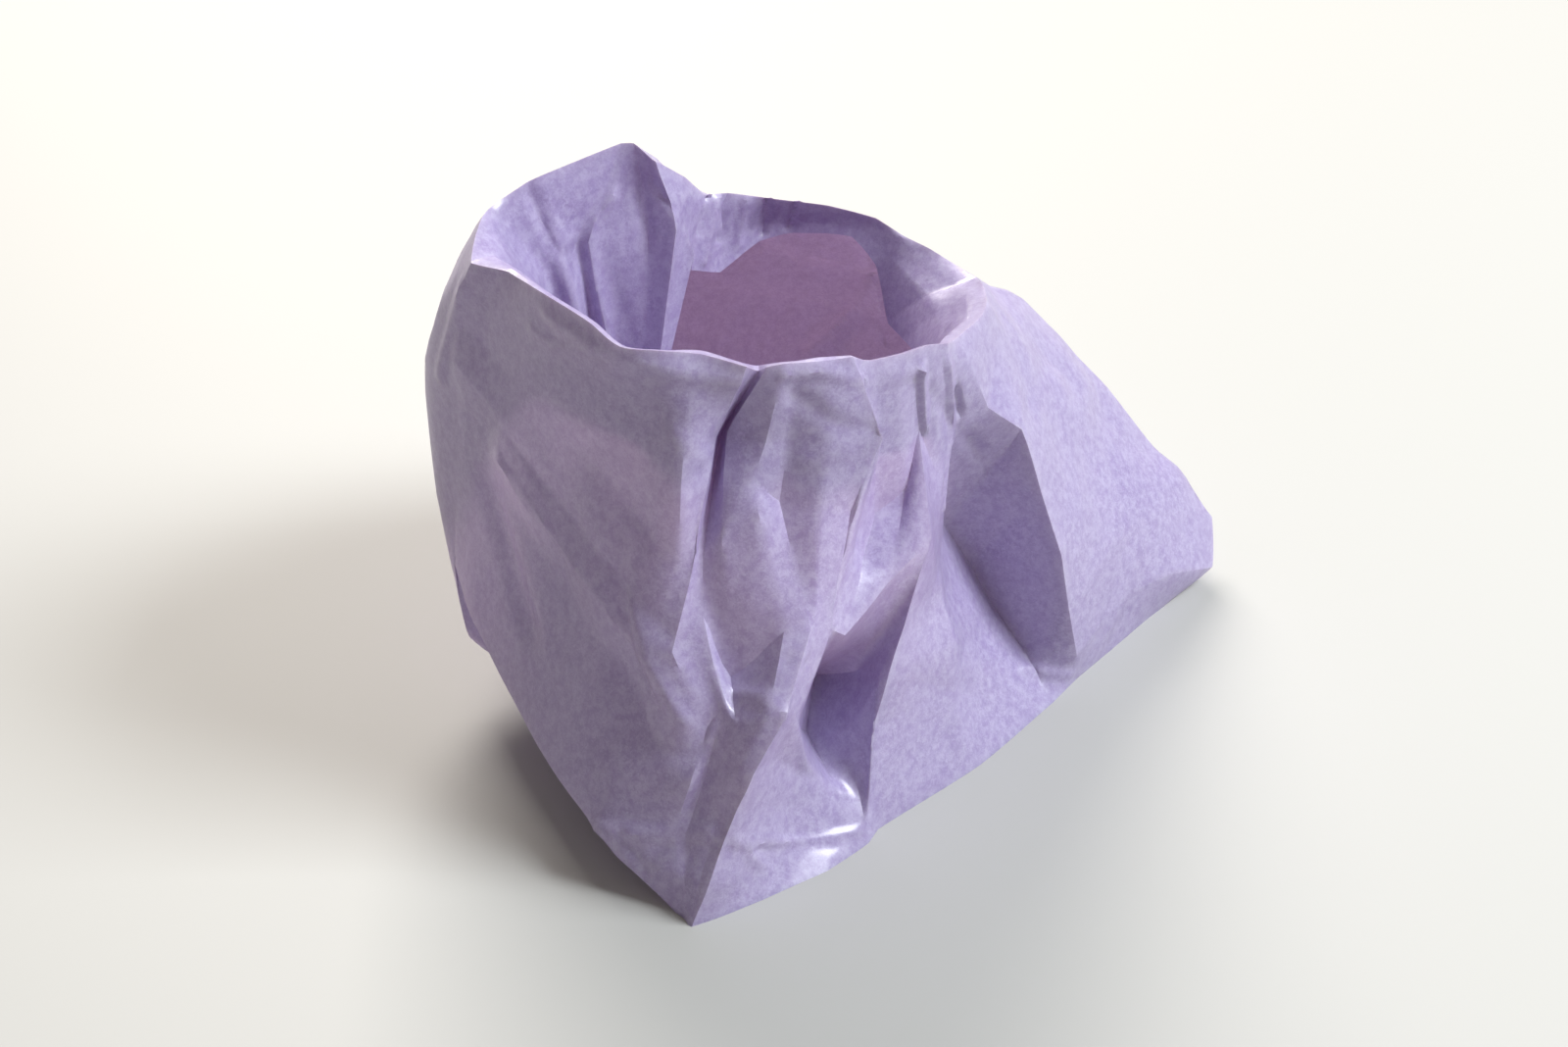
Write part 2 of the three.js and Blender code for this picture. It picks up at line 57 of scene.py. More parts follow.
# Each fold line runs from the table up the outside of the wall to the rim (eight points),
# and where the cuff has a shape of its own, on down the cuff to its hem (eleven points).
# They go round clockwise from the front tip, seen from above, and are in millimetres.
# The number before the points is 1 for a pressed crease and 0 for a soft bend.
FOLD_LINES = {
    # the front tip, with the long fold that climbs from it and the pleat beside that
    "ridge": (1, (
        (-10.5, -45, 0), (-6.5, -41.5, 10.5), (-3.5, -39.5, 18), (0, -37.5, 24), (3, -30.2, 31),
        (-0.5, -23, 43.5), (0.5, -21.5, 50.5), (1.5, -21.5, 60.5),
        (1.2, -20.3, 59.8), (0.5, -17, 55), (0, -16, 49),
    )),
    "shine": (0.8, (
        (-10.8, -44.8, 0), (-8, -40.5, 9.5), (-5.5, -39, 17), (-2, -37.5, 24), (0, -30.5, 31),
        (-3.5, -24, 46.5), (-2, -22.5, 51), (0, -22, 60.7),
    )),
    "strip": (0.7, (
        (-11, -44.5, 0), (-9, -40, 9.5), (-7, -38, 16.5), (-5.5, -36, 22.5), (-6, -31, 25),
        (-7, -26.5, 41.5), (-6.3, -20.5, 51), (-1.8, -22.5, 60.6),
        (-1.9, -21, 60), (-2.5, -17, 55.5), (-3, -15.5, 49.5),
    )),
    "tuck": (0.8, (
        (-11.2, -44, 0), (-11, -39, 9), (-9, -37, 15), (-7, -34.5, 23.5), (-9, -29, 32),
        (-9, -26, 39), (-7, -17.5, 49), (-2.8, -21.5, 59.5),
        (-2.8, -20, 59.2), (-4.5, -16, 55), (-5, -15, 50),
    )),
    "lip": (0.9, (
        (-11.5, -43.5, 0), (-12.5, -39, 9), (-10.5, -38, 15.5), (-8.5, -34.5, 20.5), (-12.5, -31.5, 29),
        (-9.5, -27.5, 39.5), (-7.5, -22.5, 51.5), (-4, -24, 61.5),
        (-4.3, -22.4, 61), (-6, -17.5, 56.5), (-7, -15.5, 50),
    )),
    # the wide panel on the left, leaning out over the table
    "left_1": (0.3, (
        (-12, -43, 0), (-17, -38, 8), (-14, -37, 13.5), (-12, -34, 21), (-15.5, -29.5, 29.5),
        (-12, -28, 38), (-11, -26.5, 51), (-9, -23, 62.5),
        (-9, -21.5, 62), (-9.5, -18, 56), (-10, -16, 50),
    )),
    "left_2": (0.4, (
        (-12.5, -42.5, 0), (-21, -36.5, 7), (-18.5, -34, 14), (-16, -28.5, 26.5), (-17.5, -26, 34),
        (-16, -24.5, 42), (-15.5, -23.5, 53), (-13.5, -24, 63.5),
    )),
    "left_3": (0.2, (
        (-15, -35, 0), (-24.5, -32, 8), (-22.5, -29.5, 16), (-20.5, -24, 31), (-21, -22.5, 38),
        (-20.5, -20.5, 46), (-20, -20.5, 55.5), (-17.5, -24, 64),
    )),
    "left_4": (0.2, (
        (-17, -30.5, 0), (-29, -24.5, 9.5), (-27, -22.5, 18.5), (-25, -17.5, 34), (-25, -17, 41),
        (-25, -16, 49), (-24.5, -16.5, 57.5), (-21, -20.5, 65),
    )),
    "left_5": (0.2, (
        (-19, -25, 0), (-34, -14.5, 12), (-31, -15, 22.5), (-29, -12.5, 38), (-30, -11, 44),
        (-30, -10, 51), (-29.5, -10.5, 58), (-27, -13.5, 65),
    )),
    "left_6": (0.7, (
        (-20.5, -19.5, 0), (-38, -6.5, 15), (-35.5, -7, 26), (-33, -6.5, 41), (-34.5, -5, 46),
        (-34.5, -3.5, 52.5), (-34, -4.5, 58), (-31, -7, 64),
        (-30, -5.5, 63), (-27.5, 1, 52), (-27.5, 1.5, 32),
    )),
    "left_7": (0.8, (
        (-22.5, -14, 0), (-41, 1.5, 18), (-39.5, 0.5, 29), (-38, -0.5, 41.5), (-38.5, -0.5, 48),
        (-38, 0, 53), (-37.5, -1, 57.5), (-35.5, -3.5, 63),
        (-33.5, 0, 62), (-28.5, 4.5, 52), (-28, 5, 31),
    )),
    "left_8": (0.5, (
        (-24, -7, 0), (-39.3, -0.5, 8), (-43.5, 8, 24), (-44, 9.5, 38), (-43.5, 8.5, 43.5),
        (-41.5, 6.5, 50), (-39.5, 4, 56), (-35.5, 2.5, 63.5),
        (-34, 5, 62), (-29, 8, 54), (-28, 8.5, 30),
    )),
    # the back, with the deep cuff flap on the left and the raised peak
    "back_1": (0.2, (
        (-28, 12, 0), (-38, 13, 19), (-40.5, 14, 29), (-41, 14.5, 39), (-40.5, 14, 46),
        (-39, 12.5, 53), (-37, 11, 59), (-34.5, 8, 64),
        (-33, 8.5, 62.5), (-28.5, 11, 54), (-26, 12, 30),
    )),
    "back_2": (0.3, (
        (-24, 22, 0), (-33, 25, 17), (-35.5, 26.5, 28), (-36, 26, 38), (-35.5, 24, 46),
        (-34, 21, 54), (-32, 17, 61), (-30, 12, 65.5),
        (-29, 12, 63), (-26, 12, 55), (-23, 12.5, 29),
    )),
    "back_3": (0.7, (
        (-17, 30, 0), (-26, 33, 16), (-29, 34, 27), (-29.5, 33, 37), (-29, 30, 46),
        (-28, 26, 54), (-27, 20, 62), (-25.5, 15.5, 66),
        (-24.2, 15, 61.5), (-24.8, 14.5, 55), (-21.5, 14, 28),
    )),
    "back_4": (0.9, (
        (-9, 34, 0), (-17, 38, 15), (-20, 39, 26), (-22, 38, 36), (-22.5, 35, 46),
        (-22, 30, 55), (-21, 24, 62.5), (-19.5, 19, 67),
        (-20.8, 17.8, 63), (-23.3, 15, 56), (-19.5, 13, 28),
    )),
    "back_5": (0.6, (
        (0, 37, 0), (-8, 41, 14), (-11, 42, 25), (-13.5, 41, 35), (-15, 38, 44),
        (-16.5, 33, 54), (-16.5, 25.5, 61.5), (-18, 19, 67),
        (-17, 18.5, 61.5), (-16.5, 16.5, 55), (-18, 11, 28.5),
    )),
    "flap_edge": (1, (
        (8, 39, 0), (0, 43, 13), (-4, 44, 24), (-7, 43, 34), (-9.5, 40, 42),
        (-12, 34.5, 51), (-13.5, 27.5, 58), (-15.5, 18, 65),
        (-13.5, 17, 60), (-13, 15.8, 57), (-17, 10.5, 29),
    )),
    "back_6": (1, (
        (14, 40.5, 0), (6, 44.5, 12), (2, 45, 23), (-1, 44, 32), (-4, 41, 40),
        (-7.5, 36.5, 47.5), (-10, 30.5, 54), (-12, 21, 61.5),
        (-12, 20.2, 60), (-12.3, 18.3, 57), (-11, 17.8, 52.5),
    )),
    "back_7": (1, (
        (19, 41.5, 0), (12, 45, 12), (8, 45.5, 22), (4.5, 44.5, 31), (1, 42, 39),
        (-3, 38.5, 46), (-6.5, 33.5, 51.5), (-9.8, 24, 57.6),
        (-10.2, 22.8, 56.8), (-11, 21.5, 52.5), (-11.5, 20.5, 49),
    )),
    "back_8": (0.8, (
        (25, 42.5, 0), (19, 45.5, 11), (15, 46, 20), (10.5, 45, 29), (6.5, 42.5, 37),
        (2, 39.5, 44), (-1.5, 35.5, 50.5), (-7, 27, 56.3),
        (-7.5, 26, 55), (-7.5, 25.5, 50.5), (-8, 24.5, 46.5),
    )),
    "back_9": (0.6, (
        (32, 43, 0), (27, 46, 10), (23, 46, 18), (18, 45, 27), (13.5, 42.5, 35),
        (8.5, 40, 42.5), (4, 36.5, 49), (-1, 27.5, 55.2),
        (-2.5, 27.8, 53.5), (-3, 28.3, 51), (-3, 28, 49),
    )),
    "back_10": (0.6, (
        (39, 43, 0), (35, 46, 9), (31, 46, 16.5), (26, 44.5, 25), (20.5, 42, 33),
        (15, 39.5, 40.5), (10, 36, 47.5), (5.5, 28.5, 53.8),
        (4.5, 28.8, 52.5), (2.5, 29.3, 51), (1, 29.3, 49.5),
    )),
    "back_11": (0.6, (
        (45, 41.5, 0), (42, 44, 8), (38, 43.5, 15), (32.5, 42, 23), (26, 39.5, 31),
        (20, 37, 38.5), (16, 34, 45.3), (11.5, 28, 52.3),
        (10.8, 28.3, 51.3), (10, 28.3, 50.5), (8.5, 28.3, 49.5),
    )),
    "back_12": (0.6, (
        (49, 35, 0), (50, 39, 7), (45, 39.5, 14), (38.5, 38.5, 22), (31, 36, 30),
        (25.5, 33.5, 38), (20.5, 30, 44.7), (16, 25, 51),
        (14.5, 25, 49.8), (12.8, 25.5, 48.5), (11.5, 25.5, 47),
    )),
    # the tip on the right and the smooth panel in front of it
    "right_tip": (0.8, (
        (51, 18, 0), (57.5, 23, 2.5), (58, 28.5, 7), (48.5, 29.5, 18.5), (42.5, 29.5, 26.5),
        (30.5, 27.5, 41), (25.5, 23, 46.3), (23.5, 17, 50),
        (21.5, 16.5, 49.3), (17.5, 17, 47.3), (13, 19.5, 42),
    )),
    "right_2": (0, (
        (48, 14.5, 0), (50.5, 15.5, 6.5), (49.5, 19.5, 14), (42.5, 20, 23.5), (37.5, 18.5, 31),
        (30, 14.5, 42), (26.5, 11.5, 47.5), (24.2, 10, 51.5),
        (22.2, 10, 51), (18.5, 12, 47.5), (15, 15, 42),
    )),
    "right_1": (0, (
        (44, 9.5, 0), (44, 9.5, 7), (43, 10.5, 15.5), (38, 10.5, 24.5), (34, 10, 32),
        (28.5, 6.5, 42), (25.5, 4.5, 48), (23.3, 2.5, 53),
        (21.5, 3, 52.5), (18.5, 6, 49), (16, 10, 43),
    )),
    "bulge": (0.9, (
        (37.5, 1.5, 0), (37, -0.5, 5.3), (35.5, -1.5, 13), (34, -2, 21.6), (31, -1, 30.6),
        (28.5, -1, 39), (24, -3, 43.5), (19.8, -5.8, 54.5),
        (18.3, -5, 54), (17, 0, 49), (15.5, 3, 43),
    )),
    # the stand-up crumple and the deep recess between it and the front tip
    "dip": (0.9, (
        (34, -3.5, 0), (32, -1.5, 3), (30.5, 0.5, 5.2), (26.3, 2.5, 11), (23.3, 3.5, 16.6),
        (19.8, 2, 23.6), (19.5, -4.5, 40.5), (18.5, -9.5, 56),
    )),
    "shin": (0.4, (
        (24, -16, 0), (22.5, -14, 5.5), (21.5, -13, 10), (20.5, -12, 16), (19.3, -11, 21),
        (18.5, -11, 26.5), (18, -7.5, 38), (16.5, -11.5, 57),
    )),
    "peak": (0.9, (
        (11.2, -28, 0), (10.5, -27, 6), (10.5, -25, 13), (12, -23, 19), (14, -20.5, 24.5),
        (17, -16.5, 34), (15.5, -10.5, 45), (14, -14, 57.5),
    )),
    "flank": (0.6, (
        (10, -30.5, 0), (9.5, -29.5, 2.5), (9, -27.5, 4.5), (7, -22.5, 10.5), (8.5, -18, 16),
        (12, -20.5, 30.5), (14, -13, 38.5), (12, -15.5, 57.8),
    )),
    "recess": (0.8, (
        (5, -35.5, 0), (6, -31.5, 2.5), (6, -28, 6), (2.5, -20, 8.5), (4, -15.5, 13.5),
        (7, -26.5, 27.5), (10.5, -15, 36.5), (10, -17, 58.2),
    )),
    "under_flap": (0.8, (
        (1.2, -38, 0), (2.9, -32.8, 3.2), (3, -30, 10), (1.5, -33, 20.5), (4.8, -29, 28),
        (5.5, -28, 29.5), (9, -18, 37.5), (8.8, -18, 58.8),
    )),
    "flap_fold": (1, (
        (-2.5, -40.5, 0), (0.3, -34.2, 4.5), (1.5, -31.2, 11.3), (1.2, -34.5, 22.8), (4.2, -28.5, 31.8),
        (7.5, -22, 41.5), (11, -20, 50), (7.5, -19, 59.8),
    )),
    "middle": (0.5, (
        (-7.5, -43.5, 0), (-4, -39.5, 6.5), (-1.5, -36, 17.3), (0.5, -35.8, 23.5), (3.5, -29.5, 31.2),
        (4, -24, 43), (5, -21.5, 52), (4.5, -20.2, 60),
    )),
}

# How sharply a fold line bends at each of its points, from the table to the hem. A line
# with a higher sharpness of its own bends that sharply all the way up.
SHARP_UP = (1, 0.7, 0.6, 0.6, 0.6, 0.6, 0.5, 0.85, 0.5, 0.5, 1)
RIM_LEVEL = 7
# How far in and how far down each point of a hidden stretch of cuff lies from the rim.
TUCKED_CUFF = ((1.2, 0.6), (2.6, 6), (2.4, 12))
MOUTH_CENTRE = (-6, 4)
# Cells are sized by the gap that this percentage of the gaps between two fold lines stay under.
USUAL_GAP_PERCENT = 70
FEWEST_STEPS = 2

# Small creases pressed into the panels: the height and half the width of each in millimetres,
# then its line of (fold line, level) places, where fold line 0 is the ridge and level 7 the rim.
CREASES = (
    # the wide left panel: a soft diagonal swell, the hollow beside it and the creased foot
    (1.4, 4.2, (9.8, 2.9), (7.5, 3.1), (5, 3.7), (4.6, 3.1)),
    (-1.0, 3.6, (10.2, 2.5), (8.8, 2)),
    (0.4, 1.5, (11, 6.3), (11.2, 5), (11.5, 3.7)),
    (0.35, 1.5, (5.2, 6.2), (4.3, 5.9)),
    (-0.3, 1.5, (4.9, 5.8), (4.4, 5.8)),
    (0.5, 1.5, (6.1, 1), (5, 1), (3.8, 1), (1.3, 1.1)),
    (-0.3, 1.2, (5.4, 1), (5.3, 0.6), (3.8, 1)),
    (0.3, 1.2, (8.8, 6.2), (8.2, 6.2), (7.6, 6.6)),
    # the rolled edge along the front of the mouth
    (0.45, 1.6, (8.6, 6.7), (7.8, 6.7), (6.4, 6.8), (5.2, 6.8), (4.1, 6.8)),
    (0.4, 1.2, (0.8, 6.9), (37.2, 6.9), (35.3, 6.9), (31.6, 6.8)),
    # the facets beside the long front fold
    (0.5, 1.2, (2, 3.7), (1.4, 3.3), (0.2, 3.1)),
    (-0.4, 0.8, (0.8, 3.7), (36, 3.5)),
    (0.4, 3, (1, 4.8), (1.4, 4.5), (1.9, 3.9)),
    (-0.3, 1.5, (0, 6.6), (36.9, 6.1), (35.7, 6.3)),
    (0.25, 1.5, (37.5, 5.6), (36.6, 5.8)),
    (0.4, 1, (37, 1), (36.3, 0.5), (36.1, 0.1)),
    (0.4, 0.9, (37.7, 1), (36, 0.9), (33.1, 0.7)),
    (-0.25, 0.8, (36.9, 1), (33.9, 0.5)),
    # the gathered folds under the right of the rim, and the stand-up crumple
    (0.5, 1, (31.6, 6.8), (31.6, 6.2)),
    (0.5, 1, (30.1, 6.8), (30, 6.1), (30.6, 5.5)),
    (-0.3, 1.2, (31.2, 6.6), (29.9, 6.1)),
    (-0.6, 0.8, (29.8, 6.5), (29.7, 6.2)),
    (-0.4, 1.5, (29.6, 5.8), (29.4, 5.1), (29, 5)),
    (0.5, 1.2, (30.1, 1.4), (29.2, 0.3)),
    (0.35, 2.5, (31, 4.5), (31.1, 2.1), (31.1, 0.6)),
    (0.2, 4, (26.6, 5), (27.5, 4.1), (28.6, 2.6)),
    (0.2, 2.5, (27.5, 7), (27.5, 5), (28.2, 4.4)),
    (-0.15, 3, (26.8, 3.7), (27.9, 1.8)),
    # the wide panels at the back
    (0.9, 3, (13.5, 4.5), (15, 2.8), (16.5, 1.5)),
    (-0.7, 2.5, (14, 2), (15.5, 3.6), (17.5, 4.6)),
    (0.8, 2.5, (17.5, 2.2), (19.5, 4.2), (20, 5.6)),
    (-0.6, 2, (19, 1.2), (21, 3), (22.5, 5)),
    (0.8, 3, (22, 1.5), (23.5, 3.4), (23.5, 5.2)),
    (0.6, 2, (24.5, 2), (25.2, 4), (24.8, 5.5)),
    # the deep cuff flap on the left of the mouth
    (-0.6, 1.5, (13.9, 7.7), (13.8, 8.7), (14.1, 9), (15.5, 9)),
    (0.7, 1.1, (16.2, 8.3), (15.7, 8.6), (15.7, 9), (16, 9.5), (15.8, 9.9)),
    (-0.4, 1.2, (16.8, 8.1), (17, 9)),
    (-0.4, 1, (17.4, 7.7), (18.1, 8.2)),
    (0.3, 1.2, (14.1, 8.2), (13.7, 9.1), (14.2, 9.6)),
    (-0.3, 1, (16.3, 9.2), (17, 9.7)),
    # the pleated cuff along the back
    (-0.6, 0.8, (20.2, 7.3), (20.1, 8.7)),
    (0.5, 1, (20.6, 7.3), (20.4, 9.7)),
    (-0.5, 0.9, (21, 7.7), (20.9, 9)),
    (0.4, 1, (21.4, 7.3), (21.5, 9.4)),
    (-0.6, 0.8, (21.9, 7.3), (22.1, 9.6)),
    (-0.6, 0.8, (22.5, 7.3), (22.8, 9.4)),
    # the back wall seen through the mouth
    (1.4, 2.5, (21.8, 4.1), (20.9, 3), (19.3, 2)),
    (-0.5, 1, (21.8, 3.9), (21.1, 2.5)),
    (-0.2, 1, (19.9, 3.9), (20.7, 4.4), (21.3, 4.4)),
)

# The ranges that the chance creases are drawn from, in millimetres, and the height above the
# table, in millimetres, over which every crease grows to its full height.
CHANCE_LENGTH = (6, 22)
CHANCE_HALF_WIDTH = (2.5, 7)
GROUND_FADE = 4
# The bend between neighbouring normals at which a crease starts to be painted paler, partly as rubbed wear
# and partly as a painted highlight along the fold, and how much more bend it takes until it is fully
# paler.
WEAR_AND_HIGHLIGHT_FROM = 0.25
WEAR_AND_HIGHLIGHT_OVER = 1.2
# The grid in millimetres that fills the flat underside, and how near its edge a grid point may
# lie, as a share of the spacing. Only the inside is filled, and points this near are merged.
FLOOR_SPACING = 2.5
FLOOR_MARGIN = 0.6
FILL_INSIDE = 1
MERGE_DISTANCE = 1e-7
# The most level that the wall is taken to be where it meets the underside.
LEAST_STEEPNESS = 0.2

# The angle past which a fold is drawn as a hard edge.
HARD_EDGE = math.radians(32)
# Lengths below this are taken as zero.
TINY = 1e-12


class PouchSettings(bpy.types.PropertyGroup):
    """Sizes and finish of the tissue pouch."""

    thickness: FloatProperty(
        name="Paper thickness", description="Thickness of the coated tissue",
        default=0.00014, unit="LENGTH")
    cell: FloatProperty(
        name="Cell", description="Size of the mesh cells along the sheet",
        default=0.00082, unit="LENGTH")
    crumples: IntProperty(
        name="Crumples", description="How many small chance creases the sheet has",
        default=140)
    crumple_height: FloatProperty(
        name="Crumple height", description="Greatest height of a chance crease",
        default=0.0004, unit="LENGTH")
    seed: IntProperty(
        name="Seed", description="Start of the random draws",
        default=7)
    colour: FloatVectorProperty(
        name="Paper colour", description="Colour of the dyed tissue",
        default=(0.50, 0.46, 0.71), size=3, subtype="COLOR")


class StageSettings(bpy.types.PropertyGroup):
    """Camera and lights of the stage."""

    camera_distance: FloatProperty(
        name="Camera distance", description="From the lens to the middle of the pouch",
        default=0.33, unit="LENGTH")
    camera_height: FloatProperty(
        name="Camera angle", description="How far the camera looks down",
        default=math.radians(34), subtype="ANGLE")
    key_power: FloatProperty(
        name="Key power", description="Power of the soft light on the right in watts",
        default=8.2)
    back_power: FloatProperty(
        name="Back power", description="Power of the weaker light behind in watts",
        default=8.5)


# ---- The sheet as a net ----


def unit(vectors):
    """Vectors scaled to length one, with zero vectors left as they are."""
    lengths = np.linalg.norm(vectors, axis=-1, keepdims=True)
    return vectors / np.maximum(lengths, TINY)


def with_cuff(points):
    """The points of a fold line with a plain cuff hung from its rim if it has none."""
    points = [np.array(point, dtype=float) for point in points]
    if len(points) < len(SHARP_UP):
        rim = points[-1]
        inward = unit(np.array((MOUTH_CENTRE[0] - rim[0], MOUTH_CENTRE[1] - rim[1], 0)))
        for in_by, down_by in TUCKED_CUFF:
            points.append(rim + inward * in_by - np.array((0, 0, down_by)))
    return points


def curve_through(points, sharpness, closed, steps):
    """A curve drawn through the first axis of points, creased or soft at each of them."""
    starts = points if closed else points[:-1]
    ends = np.roll(points, -1, axis=0) if closed else points[1:]
    sharpness = np.broadcast_to(sharpness, points.shape[:-1])
    chords = ends - starts
    lengths = np.linalg.norm(chords, axis=-1, keepdims=True)
    ways = unit(chords)
    if closed:
        before, after = np.roll(ways, 1, axis=0), np.roll(ways, -1, axis=0)
        leaving_sharp, arriving_sharp = sharpness, np.roll(sharpness, -1, axis=0)
    else:
        nothing = np.zeros_like(ways[:1])
        before, after = np.concatenate((nothing, ways[:-1])), np.concatenate((ways[1:], nothing))
        leaving_sharp, arriving_sharp = sharpness[:-1], sharpness[1:]

    def tangents(one, other, sharp):
        soft = unit(one + other) * lengths
        return soft + (chords - soft) * sharp[..., None]

    leaving = tangents(before, ways, leaving_sharp)
    arriving = tangents(ways, after, arriving_sharp)
    drawn = []
    for gap, count in enumerate(steps):
        for t in np.arange(count) / count:
            drawn.append(
                (2 * t ** 3 - 3 * t ** 2 + 1) * starts[gap]
                + (t ** 3 - 2 * t ** 2 + t) * leaving[gap]
                + (3 * t ** 2 - 2 * t ** 3) * ends[gap]
                + (t ** 3 - t ** 2) * arriving[gap])
    if not closed:
        drawn.append(points[-1])
    return np.array(drawn)


def steps_for(points, cell, closed):
    """How many cells each gap along the first axis of points is cut into."""
    ends = np.roll(points, -1, axis=0) if closed else points[1:]
    starts = points if closed else points[:-1]
    widths = np.linalg.norm(ends - starts, axis=-1)
    usual = np.percentile(widths, USUAL_GAP_PERCENT, axis=1)
    return np.maximum(np.ceil(usual / cell).astype(int), FEWEST_STEPS)


def sheet_net(cell):
    """The outer face of the sheet as net[level][place round it], with its net coordinates."""
    lines = np.array([with_cuff(points) for _, points in FOLD_LINES.values()]) * MM
    sharp_round = np.array([sharp for sharp, _ in FOLD_LINES.values()], dtype=float)
    sharp_up = np.maximum(np.array(SHARP_UP)[:, None], sharp_round[None, :])
    up_steps = steps_for(lines.transpose(1, 0, 2), cell, False)
    levels = curve_through(lines.transpose(1, 0, 2), sharp_up, False, up_steps)
    round_steps = steps_for(lines, cell, True)
    net = curve_through(levels.transpose(1, 0, 2), sharp_round[:, None], True, round_steps)
    net = net.transpose(1, 0, 2)
    net[0, :, 2] = 0
    line_at = np.concatenate([i + np.arange(n) / n for i, n in enumerate(round_steps)])
    level_at = np.concatenate([i + np.arange(n) / n for i, n in enumerate(up_steps)])
    level_at = np.append(level_at, len(up_steps))
    return net, line_at, level_at


def net_normals(net):
    """Which way the outer face looks at each point of the net."""
    along = np.roll(net, -1, axis=1) - np.roll(net, 1, axis=1)
    up = np.empty_like(net)
    up[1:-1] = net[2:] - net[:-2]
    up[0] = net[1] - net[0]
    up[-1] = net[-1] - net[-2]
    return unit(np.cross(up, along))


def place_on_net(net, line_at, level_at, line, level):
    """The point of the net nearest to a fold line number and a level."""
    column = int(np.argmin(np.abs(line_at - line % len(FOLD_LINES))))
    row = int(np.argmin(np.abs(level_at - level)))
    return net[row, column]


def distance_to_line(points, stroke):
    """How far each point is from a line of points."""
    nearest = np.full(points.shape[:-1], np.inf)
    for start, end in zip(stroke[:-1], stroke[1:]):
        way = end - start
        along = np.clip(((points - start) @ way) / max(way @ way, TINY), 0, 1)
        nearest = np.minimum(nearest, np.linalg.norm(points - start - along[..., None] * way, axis=-1))
    return nearest


def press_creases(net, line_at, level_at, settings):
    """Push the named creases and the small chance creases out of the sheet or into it."""
    normals = net_normals(net)
    rise = np.zeros(net.shape[:2])
    cuff = level_at > RIM_LEVEL
    for height, width, *places in CREASES:
        stroke = np.array([place_on_net(net, line_at, level_at, *place) for place in places])
        near = np.clip(1 - distance_to_line(net, stroke) / (width * MM), 0, None)
        on_cuff = places[0][1] > RIM_LEVEL
        near[cuff != on_cuff] = 0
        rise += near * height * MM
    draw = random.Random(settings.seed)
    rows, columns = net.shape[:2]
    for _ in range(settings.crumples):
        row, column = draw.randrange(rows), draw.randrange(columns)
        turn, length = draw.uniform(0, math.pi), draw.uniform(*CHANCE_LENGTH)
        height = draw.uniform(-1, 1) * settings.crumple_height
        width = draw.uniform(*CHANCE_HALF_WIDTH) * MM
        middle = net[row, column]
        along = net[row, (column + 1) % columns] - net[row, column - 1]
        up = np.cross(along, normals[row, column])
        way = unit(along) * math.cos(turn) + unit(up) * math.sin(turn)
        stroke = np.array((middle - way * length * MM / 2, middle + way * length * MM / 2))
        near = np.clip(1 - distance_to_line(net, stroke) / width, 0, None)
        near[cuff != cuff[row]] = 0
        rise += near * height
    ground = np.clip(net[..., 2] / (GROUND_FADE * MM), 0, 1)
    return net + normals * (rise * ground)[..., None]


def crease_wear_and_highlight(net):
    """How sharply the sheet is bent at each point of the net, from 0 to 1."""
    normals = net_normals(net)
    bend = np.linalg.norm(np.roll(normals, -1, axis=1) - np.roll(normals, 1, axis=1), axis=-1)
    bend[1:-1] += np.linalg.norm(normals[2:] - normals[:-2], axis=-1)
    return np.clip((bend - WEAR_AND_HIGHLIGHT_FROM) / WEAR_AND_HIGHLIGHT_OVER, 0, 1)


# ---- The closed mesh ----


def wall_quads(rows, columns):
    """Faces of one skin of the wall, seen from outside."""
    quads = []
    for row in range(rows - 1):
        for column in range(columns):
            beside = (column + 1) % columns
            low, high = row * columns, (row + 1) * columns
            quads.append((low + column, high + column, high + beside, low + beside))
    return quads


def floor_mesh(loop):
    """Points and triangles that fill the loop where the pouch stands on the table."""
    spacing = FLOOR_SPACING * MM
    low, high = loop.min(axis=0), loop.max(axis=0)
    shape = [Vector((x, y)) for x, y in loop[:, :2]]
    edges = [(i, (i + 1) % len(shape)) for i in range(len(shape))]
    outline = [list(range(len(shape)))]
    inside = []
    for x in np.arange(low[0], high[0], spacing):
        for y in np.arange(low[1], high[1], spacing):
            gap = np.linalg.norm(loop[:, :2] - np.array((x, y)), axis=1).min()
            if gap > spacing * FLOOR_MARGIN:
                inside.append(Vector((x, y)))
    points, _, triangles, *_ = delaunay_2d_cdt(shape + inside, edges, outline, FILL_INSIDE, MERGE_DISTANCE)
    return points, triangles


def inner_net(net, thickness):
    """The inner face of the sheet, under each point of the outer face."""
    normals = net_normals(net)
    inner = net - normals * thickness
    # along the bottom seam the inner face meets the underside in the same narrow angle
    steepness = np.linalg.norm(normals[0, :, :2], axis=-1, keepdims=True)
    seam_depth = thickness * (1 + normals[0, :, 2:]) / np.maximum(steepness, LEAST_STEEPNESS)
    inner[0] = net[0] - unit(normals[0] * np.array((1, 1, 0))) * seam_depth
    inner[0, :, 2] = thickness
    return inner


